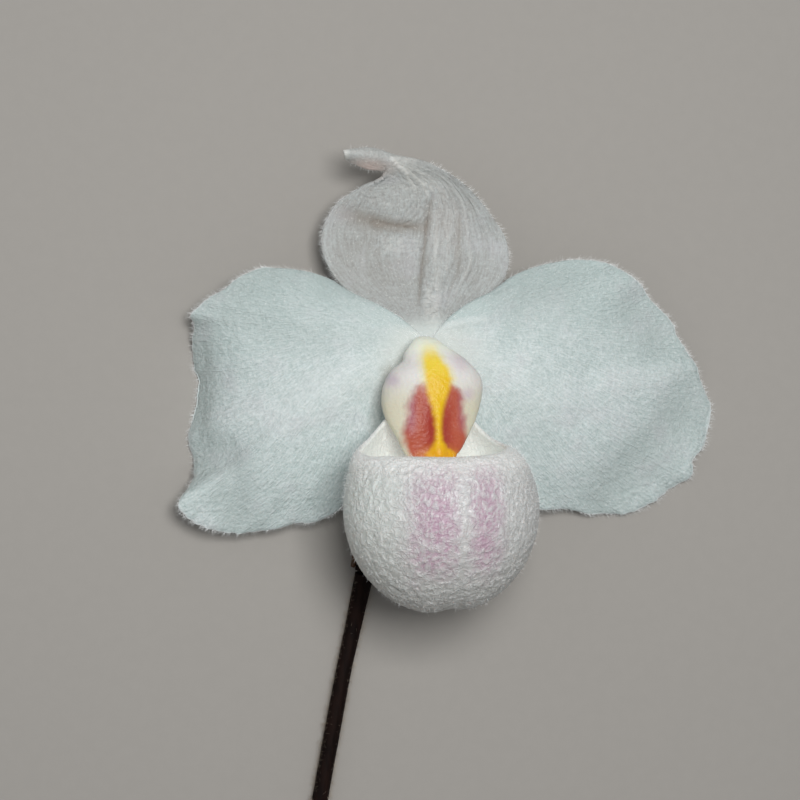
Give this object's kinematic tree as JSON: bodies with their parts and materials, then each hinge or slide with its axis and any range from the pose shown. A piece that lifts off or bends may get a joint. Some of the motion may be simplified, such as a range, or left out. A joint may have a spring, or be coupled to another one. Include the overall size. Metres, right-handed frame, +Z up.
{
  "type": "paphiopedilum orchid flower",
  "caption": "Cut slipper orchid bloom with a rounded pouch, broad wavy petals, a curled dorsal sepal and a slim hairy stem, lying on its back.",
  "frame": {"origin": "on the surface that the flower lies on, in the middle of the flower's bounding box", "axes": "+Y from the cut end of the stem towards the dorsal sepal, +Z up, out of the bloom's face, +X to the right of the bloom as it is looked at"},
  "size_m": [0.1009, 0.1422, 0.043],
  "materials": {
    "petal": "velvety cool white petal with fine hairs",
    "sepal": "velvety white sepal with a faint pink tinge, ridged and wrinkled",
    "pouch": "white pouch with a net of fine wrinkles and a pink blush",
    "column": "waxy cream",
    "anther": "sticky yellow pollen mass",
    "staminode": "waxy shield, white with a yellow stripe between orange-red patches",
    "stem": "dark brown-green with short pale hairs",
    "bract": "dry olive-brown sheath"
  },
  "bodies": {
    "root": {"stem": "stem", "bract": "bract", "ovary": "stem", "collar": "petal", "dorsal_sepal": "sepal", "synsepal": "sepal", "petal_left": "petal", "petal_right": "petal", "pouch": "pouch", "column": "column", "stigma": "column", "anther_left": "anther", "anther_right": "anther", "staminode": "staminode"}
  },
  "joints": []
}
